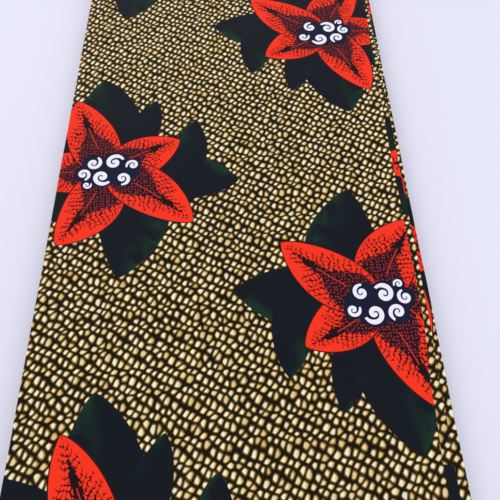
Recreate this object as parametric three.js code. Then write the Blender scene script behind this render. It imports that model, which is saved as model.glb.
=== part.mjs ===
// A length of wax print cotton, folded into a long flat strip that lies on a table.
//
// Millimetres. +X runs across the strip to the right, +Y along it away from the viewer, +Z up.
// The origin is on the table, under the middle of the strip.
//
// How it is folded: both selvages are brought to the middle of the cloth, which is then halved,
// so that a panel is a quarter of the cloth wide and has two leaves of two plies each. They are
// joined by the fold on the left and open on the right. The narrow strip is then wound flat, turn
// on turn. Each turn is a flat band that runs along the top, round the far end, back along the
// underside and up round the near end.

import * as THREE from 'three'

// The cut length
const clothWidth = 1168
const clothLength = 5486
const foldsAcross = 4
const panelsHigh = 8

// The folded strip
const stripWidth = clothWidth / foldsAcross
const stripLength = clothLength / panelsHigh
const leafThickness = 1
const gap = 0.3
const panelThickness = 2 * leafThickness + gap
const pitch = panelThickness + gap
const stackHeight = panelsHigh * pitch - gap
const innerPanelCount = panelsHigh - 4

// The cut end lies on the underside, near the end that faces the viewer
const seamY = -300
const seamGap = 0.8

// The middle of the stack has settled under its own weight, in soft waves
const middleSag = 0.8
const waveHeight = 0.25
const waveAlong = 310
const waveAcross = 420

// How finely the round parts are divided
const endSteps = 9
const straightSteps = 16
const leafShares = [0, 0.25, 0.5, 0.75, 1]
const capBow = 0.00005

// How far the open edges of the top panel stop short of the strip's widest line
const topPanelEdges = [
  { y: -343, outerLeaf: 15.0, innerLeaf: 7.5 },
  { y: -221, outerLeaf: 14.4, innerLeaf: 6.9 },
  { y: -173, outerLeaf: 12.4, innerLeaf: 5.4 },
  { y: -115, outerLeaf: 8.4, innerLeaf: 4.2 },
  { y: -52, outerLeaf: 9.0, innerLeaf: 3.6 },
  { y: 37, outerLeaf: 9.2, innerLeaf: 3.5 },
  { y: 163, outerLeaf: 8.0, innerLeaf: 3.1 },
  { y: 210, outerLeaf: 6.4, innerLeaf: 2.7 },
  { y: 343, outerLeaf: 5.0, innerLeaf: 2.2 },
]

// The turns from the outside in. Insets are the distances to the strip's left and widest lines.
const outerTurn = {
  name: 'outer_turn',
  depth: 0,
  leftTop: 0,
  leftUnder: 0.9,
  top: (y) => ({ outerLeaf: edgeAt(y, 'outerLeaf'), innerLeaf: edgeAt(y, 'innerLeaf') }),
  under: { outerLeaf: 4.2, innerLeaf: 2.6 },
  cutAcross: true,
  color: 0xb39a58,
}
const secondTurn = {
  name: 'second_turn',
  depth: pitch,
  leftTop: 0.7,
  leftUnder: 1.5,
  top: () => ({ outerLeaf: 0, innerLeaf: 1.8 }),
  under: { outerLeaf: 1.3, innerLeaf: 3.2 },
  cutAcross: false,
  color: 0xa88f50,
}

// The hidden panels, from the top down, with the same kind of insets for their edges
const innerPanels = [
  { left: 1.4, upperLeaf: 1.0, lowerLeaf: 3.4 },
  { left: 0.9, upperLeaf: 4.4, lowerLeaf: 2.2 },
  { left: 2.0, upperLeaf: 1.8, lowerLeaf: 3.8 },
  { left: 1.2, upperLeaf: 3.5, lowerLeaf: 1.4 },
]
const innerColor = 0x9c8448

const leftLine = -stripWidth / 2
const widestLine = stripWidth / 2
const endCentre = stripLength / 2 - stackHeight / 2
const middleHeight = stackHeight / 2
const edgeRadius = leafThickness / 2
const foldRadius = panelThickness / 2

function edgeAt(y, column) {
  const rows = topPanelEdges
  if (y <= rows[0].y) return rows[0][column]
  for (let i = 1; i < rows.length; i++) {
    const before = rows[i - 1]
    const after = rows[i]
    if (y <= after.y) {
      const share = (y - before.y) / (after.y - before.y)
      return THREE.MathUtils.lerp(before[column], after[column], share)
    }
  }
  return rows[rows.length - 1][column]
}

// The whole stack sinks together, most at the top and not at all on the table
function settled(x, y, z) {
  const across = 2 * x / stripWidth
  const along = 2 * y / stripLength
  const sag = middleSag * (1 - across ** 2) * (1 - Math.min(along ** 2, 1))
  const wave = waveHeight * Math.sin(2 * Math.PI * y / waveAlong)
    * Math.cos(2 * Math.PI * x / waveAcross)
  return new THREE.Vector3(x, y, z - (sag + wave) * z / stackHeight)
}

// Places along the flat stretch of the strip, from its near end to its far one, both left out
function straightPlaces() {
  const places = []
  for (let i = 1; i < straightSteps; i++) {
    places.push(THREE.MathUtils.lerp(-endCentre, endCentre, i / straightSteps))
  }
  return places
}

// The closed outline of a flattened turn, as the centres and angles of its points
function turnPath() {
  const stations = []
  const addEnd = (centre, from, to) => {
    for (let i = 0; i <= endSteps; i++) {
      stations.push({ centre, angle: THREE.MathUtils.lerp(from, to, i / endSteps) })
    }
  }
  stations.push({ centre: seamY + seamGap / 2, angle: -Math.PI / 2 })
  for (const y of [-150, 0, 150]) stations.push({ centre: y, angle: -Math.PI / 2 })
  addEnd(endCentre, -Math.PI / 2, Math.PI / 2)
  for (const y of straightPlaces().reverse()) stations.push({ centre: y, angle: Math.PI / 2 })
  addEnd(-endCentre, Math.PI / 2, 1.5 * Math.PI)
  stations.push({ centre: seamY - seamGap / 2, angle: -Math.PI / 2 })
  return stations
}

// A panel cut across: two leaves on one fold, as pairs of x and the depth under its outer face
function panelSection(left, outerEdge, innerEdge) {
  const foldX = left + foldRadius
  const points = []
  const addFace = (edge, depth, shares) => {
    for (const share of shares) {
      points.push([THREE.MathUtils.lerp(foldX, edge - edgeRadius, share), depth])
    }
  }
  const addLeafEdge = (edge, depth) => {
    for (const angle of [-Math.PI / 4, 0, Math.PI / 4]) {
      points.push([
        edge - edgeRadius + edgeRadius * Math.cos(angle),
        depth + edgeRadius + edgeRadius * Math.sin(angle),
      ])
    }
  }
  const backwards = [...leafShares].reverse()
  addFace(outerEdge, 0, leafShares)
  addLeafEdge(outerEdge, 0)
  addFace(outerEdge, leafThickness, backwards)
  points.push([foldX - gap / 2, panelThickness / 2])
  addFace(innerEdge, leafThickness + gap, leafShares)
  addLeafEdge(innerEdge, leafThickness + gap)
  addFace(innerEdge, panelThickness, backwards)
  for (const angle of [3, 2, 1, 0, -1, -2, -3].map((n) => Math.PI + n * Math.PI / 8)) {
    points.push([
      foldX + foldRadius * Math.cos(angle),
      foldRadius - foldRadius * Math.sin(angle),
    ])
  }
  return points.filter(([x], i) => i < points.length - 7 || x < foldX)
}

// One turn: its panel section carried along the flattened outline
function turnRings(turn) {
  const radius = stackHeight / 2 - turn.depth
  return turnPath().map(({ centre, angle }) => {
    const height = (1 + Math.sin(angle)) / 2
    const top = turn.top(centre)
    const left = leftLine + THREE.MathUtils.lerp(turn.leftUnder, turn.leftTop, height)
    const outerEdge = widestLine - THREE.MathUtils.lerp(turn.under.outerLeaf, top.outerLeaf, height)
    const innerEdge = widestLine - THREE.MathUtils.lerp(turn.under.innerLeaf, top.innerLeaf, height)
    return panelSection(left, outerEdge, innerEdge).map(([x, depth]) => {
      const reach = radius - depth
      return settled(x, centre + reach * Math.cos(angle), middleHeight + reach * Math.sin(angle))
    })
  })
}

// The hidden panels as one block cut across, layered at both sides, as pairs of x and height
function innerSection() {
  const height = innerPanelCount * pitch - gap
  const top = height / 2
  const points = []
  const first = innerPanels[0]
  const last = innerPanels[innerPanelCount - 1]
  const addFace = (panel, edge, level, shares) => {
    for (const share of shares) {
      const from = leftLine + panel.left + foldRadius
      points.push([THREE.MathUtils.lerp(from, widestLine - edge - edgeRadius, share), level])
    }
  }
  const addLeaf = (inset, level) => {
    const x = widestLine - inset
    points.push([x - 0.15, level - 0.15], [x, level - edgeRadius], [x - 0.15, level - 0.85])
  }
  addFace(first, first.upperLeaf, top, leafShares)
  innerPanels.forEach((panel, i) => {
    const level = top - i * pitch
    addLeaf(panel.upperLeaf, level)
    points.push([widestLine - Math.max(panel.upperLeaf, panel.lowerLeaf) - 1.4, level - 1.15])
    addLeaf(panel.lowerLeaf, level - leafThickness - gap)
    if (i < innerPanelCount - 1) {
      const deeper = Math.max(panel.lowerLeaf, innerPanels[i + 1].upperLeaf)
      points.push([widestLine - deeper - 1.4, level - panelThickness - gap / 2])
    }
  })
  addFace(last, last.lowerLeaf, -top, [...leafShares].reverse())
  for (let i = innerPanelCount - 1; i >= 0; i--) {
    const x = leftLine + innerPanels[i].left
    const level = top - i * pitch
    points.push([x + 0.35, level - 1.95], [x, level - foldRadius], [x + 0.35, level - 0.35])
    if (i > 0) {
      const deeper = Math.max(innerPanels[i].left, innerPanels[i - 1].left)
      points.push([leftLine + deeper + 1.6, level + gap / 2])
    }
  }
  return points
}

// The block runs from the far end to the near one and thins to a round edge at each
function innerRings() {
  const radius = (innerPanelCount * pitch - gap) / 2
  const section = innerSection()
  const roundStations = [82, 68, 50, 30, 12].map((degrees) => THREE.MathUtils.degToRad(degrees))
  const far = roundStations.map((angle) => ({
    y: endCentre + radius * Math.sin(angle),
    share: Math.cos(angle),
  }))
  const near = [...far].reverse().map(({ y, share }) => ({ y: -y, share }))
  const straight = straightPlaces().map((y) => ({ y, share: 1 }))
  const stations = [
    ...far,
    { y: endCentre, share: 1 },
    ...straight.reverse(),
    { y: -endCentre, share: 1 },
    ...near,
  ]
  return stations.map(({ y, share }) =>
    section.map(([x, level]) => settled(x, y, middleHeight + level * share)))
}

// Joins rings of equally many points into a closed body. Its faces look outwards because each
// ring runs clockwise as seen by someone who looks along the path
function skin(rings, closed) {
  const count = rings[0].length
  const positions = rings.flat().flatMap((point) => [point.x, point.y, point.z])
  const triangles = []
  const spans = closed ? rings.length : rings.length - 1
  for (let i = 0; i < spans; i++) {
    const here = i * count
    const there = ((i + 1) % rings.length) * count
    for (let j = 0; j < count; j++) {
      const next = (j + 1) % count
      triangles.push(here + j, there + j, there + next)
      triangles.push(here + j, there + next, here + next)
    }
  }
  if (!closed) {
    const lastStart = (rings.length - 1) * count
    for (const [start, flipped] of [[0, false], [lastStart, true]]) {
      for (const [a, b, c] of capTriangles(rings[start / count])) {
        triangles.push(start + a, start + (flipped ? c : b), start + (flipped ? b : c))
      }
    }
  }
  const geometry = new THREE.BufferGeometry()
  geometry.setAttribute('position', new THREE.Float32BufferAttribute(positions, 3))
  geometry.setIndex(triangles)
  geometry.computeVertexNormals()
  return geometry
}

// The contour is bowed a little, the same all over, because points on a straight line would be
// left out of the cap and leave cracks beside it
function capTriangles(ring) {
  const contour = ring.map(({ x, z }) => new THREE.Vector2(x, z + capBow * x ** 2))
  const triangles = THREE.ShapeUtils.triangulateShape(contour, [])
  if (THREE.ShapeUtils.isClockWise(contour)) return triangles.map(([a, b, c]) => [a, c, b])
  return triangles
}

function clothMesh(name, geometry, color) {
  const material = new THREE.MeshStandardMaterial({ color, roughness: 0.75, metalness: 0 })
  const mesh = new THREE.Mesh(geometry, material)
  mesh.name = name
  return mesh
}

function turnMesh(turn) {
  const rings = turnRings(turn)
  if (!turn.cutAcross) rings.pop()
  return clothMesh(turn.name, skin(rings, !turn.cutAcross), turn.color)
}

const group = new THREE.Group()
group.add(turnMesh(outerTurn))
group.add(turnMesh(secondTurn))
group.add(clothMesh('inner_layers', skin(innerRings(), false), innerColor))

export default group
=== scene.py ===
# A length of wax print cotton, folded lengthwise, wound flat and laid on a table
import math

import bmesh
import bpy
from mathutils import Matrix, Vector


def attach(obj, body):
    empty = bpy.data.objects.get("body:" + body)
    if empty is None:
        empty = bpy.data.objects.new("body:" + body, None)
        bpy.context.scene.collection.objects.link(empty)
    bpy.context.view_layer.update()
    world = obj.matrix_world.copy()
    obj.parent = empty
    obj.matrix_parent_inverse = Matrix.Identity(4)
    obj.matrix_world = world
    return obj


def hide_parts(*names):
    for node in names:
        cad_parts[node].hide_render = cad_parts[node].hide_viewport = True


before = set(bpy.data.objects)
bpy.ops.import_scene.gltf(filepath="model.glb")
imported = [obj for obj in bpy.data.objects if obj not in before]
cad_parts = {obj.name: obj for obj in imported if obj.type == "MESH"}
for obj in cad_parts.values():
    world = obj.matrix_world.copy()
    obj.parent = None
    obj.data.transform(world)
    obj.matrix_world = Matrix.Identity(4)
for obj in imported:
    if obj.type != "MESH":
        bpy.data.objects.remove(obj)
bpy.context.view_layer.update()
mm = 0.001

# the cut length and the way it is folded, in metres
cloth = {
    "width": 1.168,
    "length": 5.486,
    "ply": 0.28 * mm,
    "leaf": 1.0 * mm,  # two plies and the air between them
    "gap": 0.3 * mm,
    "flapShort": 2 * mm,  # a flap stops at least this far from the fold on the left
    "panelsHigh": 8,
    "turns": 4,
    "seamY": -0.300,  # where each turn starts and ends, on the underside
    "seamGap": 0.8 * mm,
}
cloth["stripWidth"] = cloth["width"] / 4
cloth["stripLength"] = cloth["length"] / cloth["panelsHigh"]
cloth["panel"] = 2 * cloth["leaf"] + cloth["gap"]
cloth["pitch"] = cloth["panel"] + cloth["gap"]
cloth["stackHeight"] = cloth["panelsHigh"] * cloth["pitch"] - cloth["gap"]
cloth["endCentre"] = cloth["stripLength"] / 2 - cloth["stackHeight"] / 2

# how far each turn's edges lie in from the strip's left and widest lines, in millimetres, first
# on the upper side and then on the lower one; the top panel's own edges are in the next list
turnEdges = [
    {"left": (0.0, 0.9), "outerLeaf": (None, 4.2), "innerLeaf": (None, 2.6)},
    {"left": (0.7, 1.5), "outerLeaf": (0.0, 1.3), "innerLeaf": (1.8, 3.2)},
    {"left": (1.4, 1.2), "outerLeaf": (1.0, 1.4), "innerLeaf": (3.4, 3.5)},
    {"left": (0.9, 2.0), "outerLeaf": (4.4, 3.8), "innerLeaf": (2.2, 1.8)},
]
topPanelEdges = [  # (y, outer leaf, inner leaf) on the top panel, in millimetres
    (-343, 15.0, 7.5),
    (-221, 14.4, 6.9),
    (-173, 12.4, 5.4),
    (-115, 8.4, 4.2),
    (-52, 9.0, 3.6),
    (37, 9.2, 3.5),
    (163, 8.0, 3.1),
    (210, 6.4, 2.7),
    (343, 5.0, 2.2),
]
edgeNumbers = {"outerLeaf": 1, "innerLeaf": 2, "left": 4}  # each edge wavers in its own way
edgeWaves = [  # height in millimetres, quickness, shift from turn to turn and from edge to edge
    (0.16, 41, 1.7, 1),
    (0.10, 97, 2.3, -1),
]
leftWaver = 0.5  # the fold on the left wavers less than the leaves

# how finely the flat cloth is divided before it is folded
fineness = {
    "flap": 6,
    "edgeFold": 8,
    "face": 46,
    "leftFold": 10,
    "top": 132,
    "end": 22,
    "under": 44,
    "lastUnder": 4,
}

# the settled form: a sag, long soft waves and a few listed creases
form = {"sag": 0.8 * mm, "wave": 0.25 * mm, "waveAlong": 0.310, "waveAcross": 0.420}
creases = [  # where a soft crease starts and ends on the top, its half width and its depth
    {"start": (-0.146, 0.118), "end": (0.060, 0.141), "half": 0.007, "depth": 0.22 * mm},
    {"start": (0.010, 0.010), "end": (0.146, -0.018), "half": 0.006, "depth": 0.20 * mm},
    {"start": (-0.146, -0.148), "end": (-0.020, -0.166), "half": 0.008, "depth": 0.24 * mm},
    {"start": (-0.020, -0.214), "end": (0.130, -0.196), "half": 0.007, "depth": 0.18 * mm},
    {"start": (-0.085, 0.250), "end": (0.120, 0.232), "half": 0.008, "depth": 0.22 * mm},
]

# how far the print lies from where an even one would, across and along the flat cloth
slip = {
    "turn": ((0.0, 0.0), (-68 * mm, 34 * mm), (0.0, 20 * mm), (0.0, -35 * mm)),
    "innerLeaf": (-115 * mm, -22 * mm),  # grows from the fold on the left to the inner edge
    "innerOver": 0.8,  # the share of the strip's width over which it grows
    "innerSkew": -0.049,
    "drawnIn": -0.285,  # near the viewer the print is drawn in towards a line on the right
    "drawnTo": 252.9 * mm,  # that line, across from the fold
    "drawnBelow": 13 * mm,  # the drawing in starts here and grows towards the near end
}


def blendNumbers(a, b, share):
    return a + (b - a) * share


def smoothShare(share):
    share = min(max(share, 0.0), 1.0)
    return share * share * (3 - 2 * share)


def addObject(name, data):
    item = bpy.data.objects.new(name, data)
    bpy.context.scene.collection.objects.link(item)
    return item


def topEdgeInset(y, column):
    rows = topPanelEdges
    y = y / mm
    for before, after in zip(rows, rows[1:]):
        if y <= after[0]:
            share = min(max((y - before[0]) / (after[0] - before[0]), 0.0), 1.0)
            return blendNumbers(before[column], after[column], smoothShare(share))
    return rows[-1][column]


def waver(along, turn, number):
    # the small unevenness of a hand-folded edge, in millimetres
    total = 0.0
    for height, quickness, turnShift, edgeShift in edgeWaves:
        total += height * math.sin(along * quickness + turnShift * turn + edgeShift * number)
    return total


def edgeInset(turn, edge, centreY, along, height):
    # how far an edge lies in, in millimetres, at a height from 0 at the bottom to 1 at the top
    top, under = turnEdges[turn][edge]
    number = edgeNumbers[edge]
    if top is None:
        top = topEdgeInset(centreY, number)
    unevenness = leftWaver if edge == "left" else 1.0
    return blendNumbers(under, top, height) + unevenness * waver(along, turn, number)


def creaseDepth(x, y):
    depth = 0.0
    for crease in creases:
        start = Vector(crease["start"])
        line = Vector(crease["end"]) - start
        point = Vector((x, y)) - start
        along = point.dot(line) / line.length_squared
        if not 0 < along < 1:
            continue
        away = (point - along * line).length / crease["half"]
        depth += crease["depth"] * math.sin(math.pi * along) * math.exp(-away * away)
    return depth


def settled(x, y, z):
    across = 2 * x / cloth["stripWidth"]
    along = min(abs(2 * y / cloth["stripLength"]), 1.0)
    sag = form["sag"] * (1 - across ** 2) * (1 - along ** 2)
    wave = form["wave"] * math.sin(2 * math.pi * y / form["waveAlong"])
    wave *= math.cos(2 * math.pi * x / form["waveAcross"])
    height = z / cloth["stackHeight"]
    crease = creaseDepth(x, y) * smoothShare(height * 2 - 1)
    return Vector((x, y, z - (sag + wave) * height - crease))


def acrossSteps():
    # the flat cloth from selvage to selvage, as (stretch, share of it) for each line of the grid
    steps = []
    for stretch, count in (
        ("outerFlap", fineness["flap"]),
        ("outerEdge", fineness["edgeFold"]),
        ("outerFace", fineness["face"]),
        ("leftFold", fineness["leftFold"]),
        ("innerFace", fineness["face"]),
        ("innerEdge", fineness["edgeFold"]),
        ("innerFlap", fineness["flap"]),
    ):
        steps += [(stretch, i / count) for i in range(count)]
    return steps + [("innerFlap", 1.0)]


def foldedAcross(step, left, outerEdge, innerEdge):
    # where a line of the grid lies in the folded panel: x, depth under its outer face, and its
    # place across the flat cloth, counted from the fold on the left
    stretch, share = step
    half = cloth["ply"] / 2
    edgeRadius = cloth["leaf"] / 2 - half
    foldRadius = cloth["panel"] / 2 - half
    foldX = left + cloth["panel"] / 2
    leaf = outerEdge if stretch.startswith("outer") else innerEdge
    bendX = leaf - cloth["leaf"] / 2
    face = bendX - foldX
    foldHalf = math.pi * foldRadius / 2
    edgeFold = math.pi * edgeRadius
    clothLeft = cloth["width"] / 2 - foldHalf - face - edgeFold
    flap = min(clothLeft, face - cloth["flapShort"])
    outwards = 1 if stretch.startswith("outer") else -1
    faceDepth = half if outwards > 0 else cloth["panel"] - half
    flapDepth = faceDepth + outwards * 2 * edgeRadius
    if stretch == "leftFold":
        angle = math.pi * (0.5 + share)
        depth = cloth["panel"] / 2 - foldRadius * math.sin(angle)
        return foldX + foldRadius * math.cos(angle), depth, foldHalf * (1 - 2 * share)
    run = 1 - share if outwards > 0 else share
    if stretch.endswith("Face"):
        return foldX + face * run, faceDepth, outwards * (foldHalf + face * run)
    if stretch.endswith("Edge"):
        angle = math.pi * run
        depth = blendNumbers(faceDepth, flapDepth, (1 - math.cos(angle)) / 2)
        x = bendX + edgeRadius * math.sin(angle)
        return x, depth, outwards * (foldHalf + face + edgeFold * run)
    across = outwards * (foldHalf + face + edgeFold + flap * run)
    return bendX - flap * run, flapDepth, across


def turnReach(turn):
    # the turn's outer radius round each end
    return cloth["stackHeight"] / 2 - turn * cloth["pitch"]


def endLength(turn):
    return math.pi * (turnReach(turn) - cloth["panel"] / 2)


def turnLength(turn):
    return 2 * endLength(turn) + 4 * cloth["endCentre"]


def alongSteps(turn):
    # the turn's way round the strip, as (y of the bend's centre, angle, place along the cloth)
    endCentre = cloth["endCentre"]
    bend = endLength(turn)
    startY = cloth["seamY"] + cloth["seamGap"] / 2
    lastY = cloth["seamY"] - cloth["seamGap"] / 2
    steps = []
    for i in range(fineness["under"]):
        y = blendNumbers(startY, endCentre, i / fineness["under"])
        steps.append((y, -math.pi / 2, 2 * endCentre + bend - y))
    for i in range(fineness["end"]):
        share = i / fineness["end"]
        steps.append((endCentre, math.pi * (share - 0.5), endCentre + bend * (1 - share)))
    for i in range(fineness["top"]):
        y = blendNumbers(endCentre, -endCentre, i / fineness["top"])
        steps.append((y, math.pi / 2, y))
    for i in range(fineness["end"]):
        share = i / fineness["end"]
        steps.append((-endCentre, math.pi * (share + 0.5), -endCentre - bend * share))
    for i in range(fineness["lastUnder"] + 1):
        y = blendNumbers(-endCentre, lastY, i / fineness["lastUnder"])
        steps.append((y, 1.5 * math.pi, -endCentre - bend - (y + endCentre)))
    return steps


def printPlace(turn, across, along):
    # where a point of the turn's cloth lies in the print
    inner = smoothShare(-across / (slip["innerOver"] * cloth["stripWidth"]))
    innerAcross, innerAlong = (part * inner for part in slip["innerLeaf"])
    innerAcross += slip["innerSkew"] * along * inner
    turnAcross, turnAlong = slip["turn"][turn]
    drawn = slip["drawnIn"] * (max(across, 0.0) - slip["drawnTo"])
    drawn *= min(along - slip["drawnBelow"], 0.0) * (1 - inner)
    start = turn * turnLength(turn)
    return across + turnAcross + innerAcross + drawn, along + start + turnAlong + innerAlong


def foldTurn(turn, name):
    # a flat grid of cloth is folded into one turn; its UVs are its places in the print
    columns = acrossSteps()
    rows = alongSteps(turn)
    halfWidth = cloth["stripWidth"] / 2
    mesh = bpy.data.meshes.new(name)
    bm = bmesh.new()
    bmesh.ops.create_grid(bm, x_segments=len(columns) - 1, y_segments=len(rows) - 1, size=1)
    uvLayer = bm.loops.layers.uv.new("flatCloth")
    flatPlace = {}
    for vertex in bm.verts:
        i = round((vertex.co.x + 1) / 2 * (len(columns) - 1))
        j = round((vertex.co.y + 1) / 2 * (len(rows) - 1))
        centreY, angle, along = rows[j]
        height = (1 + math.sin(angle)) / 2
        x, depth, across = foldedAcross(
            columns[i],
            -halfWidth + edgeInset(turn, "left", centreY, along, height) * mm,
            halfWidth - edgeInset(turn, "outerLeaf", centreY, along, height) * mm,
            halfWidth - edgeInset(turn, "innerLeaf", centreY, along, height) * mm,
        )
        radius = turnReach(turn) - depth
        y = centreY + radius * math.cos(angle)
        z = cloth["stackHeight"] / 2 + radius * math.sin(angle)
        vertex.co = settled(x, y, z)
        flatPlace[vertex] = printPlace(turn, across, along)
    for face in bm.faces:
        face.smooth = True
        for loop in face.loops:
            loop[uvLayer].uv = flatPlace[loop.vert]
    bm.to_mesh(mesh)
    bm.free()
    piece = addObject(name, mesh)
    thickness = piece.modifiers.new("plyThickness", "SOLIDIFY")
    thickness.thickness = cloth["ply"]
    thickness.offset = 0
    return piece


print("folding the cloth")
turnPieces = [foldTurn(turn, f"cloth_turn_{turn + 1}") for turn in range(cloth["turns"])]
replacedNodes = ["outer_turn", "second_turn", "inner_layers", "inner_layers"]
for turn, piece in enumerate(turnPieces):
    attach(piece, "root")
    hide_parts(replacedNodes[turn])
    turnLength(turn)

# the print, in millimetres on the flat cloth: one flower stands upright and one is turned half
# round in each repeat, three repeats lie across the cloth, and pebbles fill the ground
printLayout = {
    "turnedFlower": (252.9, -106.7),  # from the fold on the left and along the strip
    "repeatAcross": 1168 / 3,
    "repeatAlong": 290.3,
    "uprightOffset": (-204.6, 134.5),
    "slant": 2.82,  # the print runs a little askew to the folds, in degrees
}
petals = [  # angle, length, left and right half widths, bow to the left
    {"angle": 176, "length": 79, "left": 21, "right": 22, "bow": 2},
    {"angle": 112, "length": 87, "left": 23, "right": 21, "bow": 1},
    {"angle": 26, "length": 67, "left": 18, "right": 25, "bow": 3},
    {"angle": -122, "length": 81, "left": 28, "right": 20, "bow": 3},
    {"angle": -39, "length": 88, "left": 23, "right": 22, "bow": 3},
]
leaves = [  # each grows from a point beside the flower's centre
    {"from": (0, 0), "angle": 95, "length": 106, "left": 32, "right": 29, "bow": -3},
    {"from": (14, 22), "angle": 65, "length": 60, "left": 10, "right": 18, "bow": 0},
    {"from": (0, 0), "angle": -9, "length": 110, "left": 27, "right": 29, "bow": 2},
    {"from": (66, -10), "angle": 82, "length": 61, "left": 17, "right": 14, "bow": 0},
    {"from": (0, 0), "angle": -86, "length": 101, "left": 40, "right": 22, "bow": 8},
    {"from": (0, 0), "angle": -62, "length": 80, "left": 22, "right": 12, "bow": 0},
    {"from": (0, 0), "angle": -152, "length": 100, "left": 26, "right": 24, "bow": -4},
    {"from": (0, 0), "angle": 146, "length": 102, "left": 25, "right": 22, "bow": 3},
]
bladeForm = {"base": 0.50, "tip": 0.76, "fullness": 2.33}  # powers that round off each end
curls = [  # centre, distance between the arms, where the outer end lies, hand
    {"x": -13.4, "y": 8.6, "pitch": 5.3, "end": 60, "hand": 1},
    {"x": 4.4, "y": 8.4, "pitch": 6.2, "end": -20, "hand": -1},
    {"x": 20.0, "y": 4.6, "pitch": 4.3, "end": 200, "hand": 1},
    {"x": -21.4, "y": -2.6, "pitch": 4.6, "end": 75, "hand": -1},
    {"x": -5.6, "y": -6.2, "pitch": 6.2, "end": -40, "hand": 1},
    {"x": 11.6, "y": -8.6, "pitch": 5.0, "end": 100, "hand": -1},
    {"x": -18.2, "y": -13.4, "pitch": 3.0, "end": 20, "hand": 1},
]
curlForm = {  # in pitches of the curl, apart from the turns
    "turns": 1.25,
    "thickness": (0.42, 0.30),  # at the middle and further out
    "endTaper": 0.16,
    "endShare": 0.6,
    "ground": 1.75,
}
heartOval = {"half": (26.0, 14.5), "tilt": 0.06, "wobble": 0.34, "wobbleSize": 8.0}
veins = {  # twigs and the side twigs on them
    "pitch": 4.8,
    "sidePitch": 3.4,
    "half": 0.52,
    "slant": 0.72,
    "sideSlant": 0.50,
    "wander": (6.0, 3.4),  # along the petal and away from its middle
    "wanderSize": 7.0,
    "petalRun": 80.0,
}
dots = {"pitch": 2.6, "uneven": 0.55}
pebbles = {
    "across": 4.0,
    "along": 7.65,
    "lean": 0.09,  # of the columns
    "drop": 0.31,  # from one column to the next
    "rhythm": 0.6,  # makes rows of large and small pebbles
    "uneven": 0.46,
    "stray": 3.6,
    "straySize": 31.0,
    "roundness": 0.84,
    "sizeSpread": 0.12,
    "shadeAlong": 0.6,
}
cotton = {
    "threads": 0.55,  # between one raised thread and the next, in millimetres
    "ripple": 14.0,
    "rippleSize": (45.0, 70.0),
    "bumpStrength": 0.5,
    "bumpDepth": 0.04 * mm,
    "roughness": 0.58,
    "sheen": 0.03,
    "specular": 0.09,
}
dyes = {  # as seen on the cloth, in 8-bit sRGB
    "cream": (244, 236, 200),
    "peach": (228, 200, 142),
    "mint": (216, 224, 198),
    "amber": (206, 168, 84),
    "ochre": (130, 94, 12),
    "earth": (14, 9, 0),
    "leaf": (9, 16, 25),
    "leafGreen": (15, 46, 33),
    "red": (247, 50, 24),
    "maroon": (52, 7, 20),
    "stipple": (172, 52, 60),
    "rib": (196, 44, 36),
    "vein": (24, 6, 12),
    "outline": (52, 8, 12),
    "navy": (17, 20, 46),
    "white": (238, 234, 247),
}


class Wire:
    # a number on its way through a node tree, so that a pattern is written as a formula
    def __init__(self, tree, socket):
        self.tree = tree
        self.socket = socket

    def math(self, operation, *others):
        node = self.tree.nodes.new("ShaderNodeMath")
        node.operation = operation
        for slot, value in zip(node.inputs, (self, *others)):
            setInput(self.tree, slot, value)
        return Wire(self.tree, node.outputs[0])

    def __add__(self, other):
        return self.math("ADD", other)

    def __sub__(self, other):
        return self.math("SUBTRACT", other)

    def __mul__(self, other):
        return self.math("MULTIPLY", other)

    def __truediv__(self, other):
        return self.math("DIVIDE", other)

    def __neg__(self):
        return self.math("MULTIPLY", -1.0)

    def below(self, other):
        return self.math("LESS_THAN", other)

    def above(self, other):
        return self.math("GREATER_THAN", other)

    def least(self, other):
        return self.math("MINIMUM", other)

    def most(self, other):
        return self.math("MAXIMUM", other)

    def size(self):
        return self.math("ABSOLUTE")

    def toPower(self, power):
        return self.math("POWER", power)

    def wrapped(self, period):
        return self - (self / period).math("ROUND") * period

    def mapped(self, low, high, newLow=0.0, newHigh=1.0):
        # a smooth step from newLow to newHigh as the number goes from low to high
        node = self.tree.nodes.new("ShaderNodeMapRange")
        node.interpolation_type = "SMOOTHSTEP"
        for slot, value in zip(node.inputs, (self, low, high, newLow, newHigh)):
            setInput(self.tree, slot, value)
        return Wire(self.tree, node.outputs[0])


def setInput(tree, slot, value):
    if isinstance(value, Wire):
        tree.links.new(value.socket, slot)
    else:
        slot.default_value = value


def chosen(mask, inside, outside):
    # inside where the mask is 1 and outside where it is 0
    return outside + (inside - outside) * mask


def dye(name):
    def linear(part):
        part = part / 255
        return part / 12.92 if part <= 0.04045 else ((part + 0.055) / 1.055) ** 2.4
    return (*(linear(part) for part in dyes[name]), 1.0)


def dyed(tree, below, above, mask):
    # one colour over another; each is a dye's name or a wire
    node = tree.nodes.new("ShaderNodeMix")
    node.data_type = "RGBA"
    setInput(tree, node.inputs["Factor"], mask)
    for slot, colour in ((node.inputs["A"], below), (node.inputs["B"], above)):
        setInput(tree, slot, dye(colour) if isinstance(colour, str) else colour)
    return Wire(tree, node.outputs["Result"])


def startGroup(name, inputs, outputs):
    tree = bpy.data.node_groups.new(name, "ShaderNodeTree")
    for socket in inputs:
        tree.interface.new_socket(socket, in_out="INPUT", socket_type="NodeSocketFloat")
    for socket, kind in outputs.items():
        tree.interface.new_socket(socket, in_out="OUTPUT", socket_type="NodeSocket" + kind)
    entry = tree.nodes.new("NodeGroupInput")
    return tree, [Wire(tree, entry.outputs[socket]) for socket in inputs]


def endGroup(tree, **results):
    leaving = tree.nodes.new("NodeGroupOutput")
    for socket, wire in results.items():
        tree.links.new(wire.socket, leaving.inputs[socket])
    return tree


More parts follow.
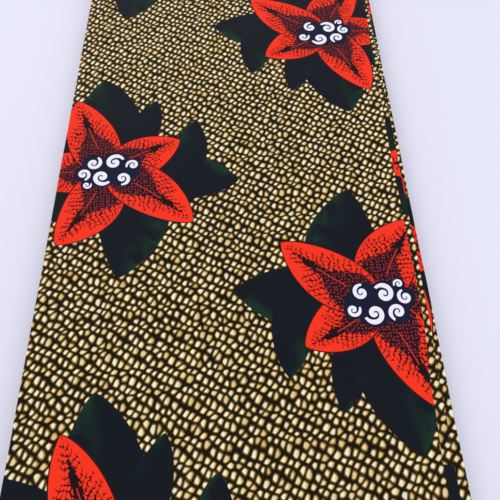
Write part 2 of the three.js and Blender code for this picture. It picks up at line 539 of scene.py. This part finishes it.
def useGroup(tree, group, *values):
    node = tree.nodes.new("ShaderNodeGroup")
    node.node_tree = group
    for slot, value in zip(node.inputs, values):
        setInput(tree, slot, value)
    wires = [Wire(tree, output) for output in node.outputs]
    return wires[0] if len(wires) == 1 else wires


def addTexture(tree, kind, x, y, **settings):
    # a texture on a pair of numbers, with one cell or cloud to a unit
    place = tree.nodes.new("ShaderNodeCombineXYZ")
    setInput(tree, place.inputs["X"], x)
    setInput(tree, place.inputs["Y"], y)
    node = tree.nodes.new(kind)
    for setting, value in settings.items():
        setattr(node, setting, value)
    node.inputs["Scale"].default_value = 1.0
    tree.links.new(place.outputs[0], node.inputs["Vector"])
    return node


def cells(tree, feature, x, y, randomness):
    node = addTexture(tree, "ShaderNodeTexVoronoi", x, y, voronoi_dimensions="2D", feature=feature)
    node.inputs["Randomness"].default_value = randomness
    return node


def cloudy(tree, x, y, detail=1.0):
    # soft noise about 0
    node = addTexture(tree, "ShaderNodeTexNoise", x, y, noise_dimensions="2D")
    node.inputs["Detail"].default_value = detail
    return Wire(tree, node.outputs["Fac"]) - 0.5


def flowerPlaceGroup():
    # where a point lies from the centre of the flower that is nearest to it
    tree, (x, y) = startGroup("flowerPlace", ("X", "Y"), {"X": "Float", "Y": "Float"})
    startX, startY = printLayout["turnedFlower"]
    slant = math.radians(printLayout["slant"])
    fromX = x - startX
    fromY = y - startY
    across = fromX * math.cos(slant) + fromY * math.sin(slant)
    along = fromY * math.cos(slant) - fromX * math.sin(slant)
    offsetX, offsetY = printLayout["uprightOffset"]
    turnedX = across.wrapped(printLayout["repeatAcross"])
    turnedY = along.wrapped(printLayout["repeatAlong"])
    uprightX = (across - offsetX).wrapped(printLayout["repeatAcross"])
    uprightY = (along - offsetY).wrapped(printLayout["repeatAlong"])
    turnedAway = turnedX * turnedX + turnedY * turnedY
    upright = (uprightX * uprightX + uprightY * uprightY).below(turnedAway)
    placeX = chosen(upright, uprightX, -turnedX)
    placeY = chosen(upright, uprightY, -turnedY)
    return endGroup(tree, X=placeX, Y=placeY)


def bladeGroup():
    # a pointed leaf or petal that grows from a point
    inputs = ("X", "Y", "Angle", "Length", "Left", "Right", "Bow")
    outputs = {"Cover": "Float", "Along": "Float", "Side": "Float", "Half": "Float"}
    tree, (x, y, angle, length, left, right, bow) = startGroup("blade", inputs, outputs)
    cosine = angle.math("COSINE")
    sine = angle.math("SINE")
    along = (x * cosine + y * sine) / length
    inLength = along.most(0.0001).least(0.9999)
    side = y * cosine - x * sine - bow * inLength * (-inLength + 1.0) * 4.0
    fullness = inLength.toPower(bladeForm["base"]) * (-inLength + 1.0).toPower(bladeForm["tip"])
    half = chosen(side.above(0.0), left, right) * (fullness * bladeForm["fullness"])
    cover = half.above(side.size()) * along.above(0.0) * along.below(1.0)
    return endGroup(tree, Cover=cover, Along=along, Side=side, Half=half)


def bladeNumbers(item):
    return math.radians(item["angle"]), item["length"], item["left"], item["right"], item["bow"]


def curlGroup():
    # a curl is a fat spiral arm that thins a little at its outer end, on its own dark ground
    inputs = ("X", "Y", "Pitch", "End", "Hand")
    outputs = {"Cover": "Float", "Ground": "Float"}
    tree, (x, y, pitch, end, hand) = startGroup("curl", inputs, outputs)
    turns = curlForm["turns"]
    reach = (x * x + y * y).math("SQRT") / pitch
    turned = (((y * hand).math("ARCTAN2", x) - end) / (2 * math.pi) + turns).math("FRACT")
    arm = ((reach - turned).math("ROUND") + turned).most(0.0)
    taper = arm.mapped(turns - curlForm["endTaper"], turns, 1.0, curlForm["endShare"])
    thickness = arm.mapped(0.0, 0.6, *curlForm["thickness"]) * taper
    cover = (reach - arm).size().below(thickness) * arm.below(turns)
    return endGroup(tree, Cover=cover, Ground=reach.below(curlForm["ground"]))


def pebbleGroup():
    # cream pebbles with an ochre rim on a dark ground, staggered, with a larger one here and there
    tree, (x, y) = startGroup("pebbles", ("X", "Y"), {"Color": "Color"})
    farX = x / pebbles["straySize"]
    farY = y / pebbles["straySize"]
    bendX = x + cloudy(tree, farX, farY) * pebbles["stray"]
    bendY = y + cloudy(tree, farX + 9.3, farY + 4.1) * pebbles["stray"]
    columns = (bendX + bendY * pebbles["lean"]) / pebbles["across"]
    rhythm = (bendY * (math.pi / pebbles["along"])).math("SINE") * pebbles["rhythm"]
    second = (bendY + rhythm) / pebbles["along"] + columns * pebbles["drop"]
    first = columns - second
    border = cells(tree, "DISTANCE_TO_EDGE", first, second, pebbles["uneven"])
    nearest = cells(tree, "F1", first, second, pebbles["uneven"])
    fromEdge = Wire(tree, border.outputs["Distance"])
    fromMiddle = Wire(tree, nearest.outputs["Distance"])
    chances = tree.nodes.new("ShaderNodeSeparateColor")
    tree.links.new(nearest.outputs["Color"], chances.inputs["Color"])
    lightness = Wire(tree, chances.outputs["Red"])
    warmth = Wire(tree, chances.outputs["Green"])
    size = Wire(tree, chances.outputs["Blue"])
    rounded = fromEdge - fromMiddle * fromMiddle * pebbles["roundness"]
    rounded = rounded + size * pebbles["sizeSpread"]
    middle = tree.nodes.new("ShaderNodeSeparateXYZ")
    tree.links.new(nearest.outputs["Position"], middle.inputs["Vector"])
    shaded = first - Wire(tree, middle.outputs["X"])
    shaded = shaded + (second - Wire(tree, middle.outputs["Y"])) * pebbles["shadeAlong"]
    halo = rounded.mapped(-0.06, 0.13) * lightness.mapped(0.0, 0.8, 1.0, 0.6)
    body = rounded.mapped(0.148, 0.350) * lightness.mapped(0.0, 0.3, 0.8, 1.0)
    ground = dyed(tree, "earth", "ochre", halo)
    pebble = dyed(tree, "cream", "peach", warmth.mapped(0.60, 1.0))
    pebble = dyed(tree, pebble, "mint", lightness.mapped(0.75, 1.0) * 0.7)
    pebble = dyed(tree, pebble, "amber", shaded.mapped(0.0, 0.30) * 0.75)
    return endGroup(tree, Color=dyed(tree, ground, pebble, body))


def curlClusterGroup(curl):
    # the flower's middle: curls of several sizes on a dark oval
    tree, (x, y) = startGroup("curlCluster", ("X", "Y"), {"Ground": "Float", "Curls": "Float"})
    wobbleSize = heartOval["wobbleSize"]
    wobble = cloudy(tree, x / wobbleSize, y / wobbleSize) * heartOval["wobble"]
    tiltedY = y + x * heartOval["tilt"]
    halfAcross, halfAlong = heartOval["half"]
    reach = (x * x / (halfAcross ** 2) + tiltedY * tiltedY / (halfAlong ** 2)).math("SQRT")
    ground = (reach + wobble).below(1.0)
    cover = None
    for item in curls:
        numbers = (item["pitch"], math.radians(item["end"]), item["hand"])
        one, under = useGroup(tree, curl, x - item["x"], y - item["y"], *numbers)
        cover = one if cover is None else cover.most(one)
        ground = ground.most(under)
    return endGroup(tree, Ground=ground, Curls=cover)


def leavesGroup(blade):
    # dark leaves behind the petals, each with its own green tinge
    tree, (x, y) = startGroup("leaves", ("X", "Y"), {"Cover": "Float", "Green": "Float"})
    cover = None
    green = None
    for item in leaves:
        fromX, fromY = item["from"]
        numbers = bladeNumbers(item)
        one, along, side, half = useGroup(tree, blade, x - fromX, y - fromY, *numbers)
        tinge = (side / half).mapped(-0.2, 0.9) * along.mapped(0.35, 0.8)
        cover = one if cover is None else cover.most(one)
        green = tinge * one if green is None else chosen(one, tinge, green)
    patches = cloudy(tree, x / 17.0, y / 17.0, 2.0) + 0.5
    return endGroup(tree, Cover=cover, Green=green * patches.mapped(0.35, 0.65))


def petalsGroup(blade):
    # red petals; the last one lies on top
    outputs = {"Cover": "Float", "Along": "Float", "Side": "Float", "Half": "Float"}
    tree, (x, y) = startGroup("petals", ("X", "Y"), outputs)
    results = None
    for item in petals:
        one = useGroup(tree, blade, x, y, *bladeNumbers(item))
        if results is None:
            results = one
            continue
        cover = one[0].most(results[0])
        rest = [chosen(one[0], new, old) for new, old in zip(one[1:], results[1:])]
        results = [cover] + rest
    return endGroup(tree, **dict(zip(outputs, results)))


def veinsGroup():
    # twigs that leave the petal's middle at a slant, each with short side twigs; every twig goes
    # from the heart's border to a reach of its own, as shares of the petal's half width
    inputs = ("X", "Y", "Along", "Side", "Share", "Heart")
    tree, (x, y, along, side, share, heart) = startGroup("veins", inputs, {"Cover": "Float"})
    right = side.below(0.0)
    farX = x / veins["wanderSize"]
    farY = y / veins["wanderSize"]
    wanderRun, wanderAway = veins["wander"]
    run = along * veins["petalRun"] + cloudy(tree, farX, farY) * wanderRun
    away = side.size() + cloudy(tree, farX + 5.0, farY + 8.0) * wanderAway
    order = (run - away * veins["slant"]) / veins["pitch"] + right * 0.43
    number = order.math("ROUND")
    fromTwig = (order - number).size() * (veins["pitch"] * 0.81)
    chance = ((number * 12.99 + right * 4.7).math("SINE") * 437.5).math("FRACT")
    reach = (heart + chance * 0.30 + 0.54).least(0.92) * along.below(0.93)
    thin = (share - (heart - 0.12)) / (reach - heart + 0.12)
    thin = thin.mapped(0.0, 1.0, 1.0, 0.55)
    twig = fromTwig.below(thin * veins["half"])
    sideOrder = (away + run * veins["sideSlant"]) / veins["sidePitch"] + chance
    fromSide = (sideOrder - sideOrder.math("ROUND")).size() * (veins["sidePitch"] * 0.89)
    sideTwig = fromSide.below(thin * veins["half"] * 0.8)
    sideTwig = sideTwig * fromTwig.below(chance * 0.7 + 1.05)
    return endGroup(tree, Cover=twig.most(sideTwig) * share.below(reach))


def petalPaintGroup(veinsTree):
    # the drawing on a petal: a dotted maroon heart, branching veins and a clear red border
    inputs = ("X", "Y", "Along", "Side", "Half")
    tree, (x, y, along, side, half) = startGroup("petalPaint", inputs, {"Color": "Color"})
    share = side.size() / half
    lean = side.above(0.0) * 0.16
    heart = along.mapped(0.16, 0.76, 0.78, -0.18) + lean * along.mapped(0.3, 0.8, 1.0, 0.0)
    vein = useGroup(tree, veinsTree, x, y, along, side, share, heart)
    ragged = share + cloudy(tree, x / 2.2, y / 2.2) * 0.34
    inHeart = (heart - ragged).mapped(0.0, 0.05)
    core = along.mapped(0.42, 0.56, 0.0, 0.17) * along.mapped(0.64, 0.90, 1.0, 0.0)
    nearest = cells(tree, "F1", x / dots["pitch"], y / dots["pitch"], dots["uneven"])
    dot = Wire(tree, nearest.outputs["Distance"]).mapped(0.16, 0.30, 1.0, 0.0)
    stipple = dot * along.mapped(0.44, 0.66, 1.0, 0.15)
    rib = side.size().below(0.45) * along.above(0.30) * along.below(0.60)
    colour = dyed(tree, "red", "maroon", inHeart)
    colour = dyed(tree, colour, "vein", vein.most(ragged.below(core)))
    colour = dyed(tree, colour, "stipple", inHeart * stipple * 0.85)
    colour = dyed(tree, colour, "rib", rib)
    colour = dyed(tree, colour, "outline", (half - side.size()).below(1.05))
    return endGroup(tree, Color=colour)


def waxPrintMaterial():
    material = bpy.data.materials.new("waxPrintCotton")
    material.use_nodes = True
    tree = material.node_tree
    shader = tree.nodes["Principled BSDF"]
    flat = tree.nodes.new("ShaderNodeUVMap")
    flat.uv_map = "flatCloth"
    parts = tree.nodes.new("ShaderNodeSeparateXYZ")
    tree.links.new(flat.outputs["UV"], parts.inputs["Vector"])
    x, y = (Wire(tree, parts.outputs[axis]) * 1000.0 for axis in ("X", "Y"))  # in millimetres
    blade = bladeGroup()
    flowerX, flowerY = useGroup(tree, flowerPlaceGroup(), x, y)
    colour = useGroup(tree, pebbleGroup(), x, y)
    leafCover, green = useGroup(tree, leavesGroup(blade), flowerX, flowerY)
    colour = dyed(tree, colour, dyed(tree, "leaf", "leafGreen", green), leafCover)
    petalCover, *petal = useGroup(tree, petalsGroup(blade), flowerX, flowerY)
    paint = useGroup(tree, petalPaintGroup(veinsGroup()), flowerX, flowerY, *petal)
    colour = dyed(tree, colour, paint, petalCover)
    oval, curlCover = useGroup(tree, curlClusterGroup(curlGroup()), flowerX, flowerY)
    colour = dyed(tree, colour, "navy", oval)
    colour = dyed(tree, colour, "white", curlCover)
    tree.links.new(colour.socket, shader.inputs["Base Color"])
    toAngle = 2 * math.pi / cotton["threads"]
    weave = (x * toAngle).math("SINE") * (y * toAngle).math("SINE")
    rippleX, rippleY = cotton["rippleSize"]
    ripple = cloudy(tree, x / rippleX, y / rippleY, 2.0) * cotton["ripple"]
    bump = tree.nodes.new("ShaderNodeBump")
    bump.inputs["Strength"].default_value = cotton["bumpStrength"]
    bump.inputs["Distance"].default_value = cotton["bumpDepth"]
    tree.links.new((weave + ripple).socket, bump.inputs["Height"])
    tree.links.new(bump.outputs["Normal"], shader.inputs["Normal"])
    shader.inputs["Roughness"].default_value = cotton["roughness"]
    shader.inputs["Sheen Weight"].default_value = cotton["sheen"]
    shader.inputs["Specular IOR Level"].default_value = cotton["specular"]
    return material


print("printing the cloth")
waxPrint = waxPrintMaterial()
for piece in turnPieces:
    piece.data.materials.append(waxPrint)

# the camera stands over the strip's near part and looks down at it, like one held in a hand
camera = {
    "place": (0.0085, -0.2403),
    "above": 0.344,
    "turn": 1.43,
    "down": 62.5,
    "lens": 36.0,
    "sensor": 36,
    "nearest": 0.01,
}
stage = {
    "halfSize": 3,
    "floor": (0.79, 0.78, 0.90, 1),
    "roughness": 0.6,
    "sky": (0.93, 0.95, 1.0, 1),
    "skyStrength": 0.76,
}
lamps = {
    "windowLight": {"place": (-0.9, 1.1, 1.5), "size": 1.4, "watts": 9.0},
    "roomLight": {"place": (0.8, -0.4, 1.6), "size": 1.8, "watts": 9.0},
}


def makeCamera():
    data = bpy.data.cameras.new("camera")
    data.lens = camera["lens"]
    data.sensor_width = camera["sensor"]
    data.clip_start = camera["nearest"]
    item = addObject("camera", data)
    x, y = camera["place"]
    item.location = (x, y, cloth["stackHeight"] + camera["above"])
    item.rotation_euler = (math.radians(90 - camera["down"]), 0, -math.radians(camera["turn"]))
    bpy.context.scene.camera = item


def makeLamp(name, lamp):
    # a square lamp that faces the middle of the scene
    data = bpy.data.lights.new(name, "AREA")
    data.size = lamp["size"]
    data.energy = lamp["watts"]
    item = addObject(name, data)
    item.location = lamp["place"]
    item.rotation_euler = (-Vector(lamp["place"])).to_track_quat("-Z", "Y").to_euler()


def makeStage():
    bm = bmesh.new()
    bmesh.ops.create_grid(bm, x_segments=1, y_segments=1, size=stage["halfSize"])
    mesh = bpy.data.meshes.new("floor")
    bm.to_mesh(mesh)
    bm.free()
    floor = addObject("floor", mesh)
    material = bpy.data.materials.new("paleTable")
    material.use_nodes = True
    shader = material.node_tree.nodes["Principled BSDF"]
    shader.inputs["Base Color"].default_value = stage["floor"]
    shader.inputs["Roughness"].default_value = stage["roughness"]
    mesh.materials.append(material)
    world = bpy.data.worlds.new("softRoom")
    world.use_nodes = True
    background = world.node_tree.nodes["Background"]
    background.inputs["Color"].default_value = stage["sky"]
    background.inputs["Strength"].default_value = stage["skyStrength"]
    bpy.context.scene.world = world
    for name, lamp in lamps.items():
        makeLamp(name, lamp)
    bpy.context.scene.view_settings.view_transform = "Standard"


print("setting the stage")
makeCamera()
makeStage()

print("finished")
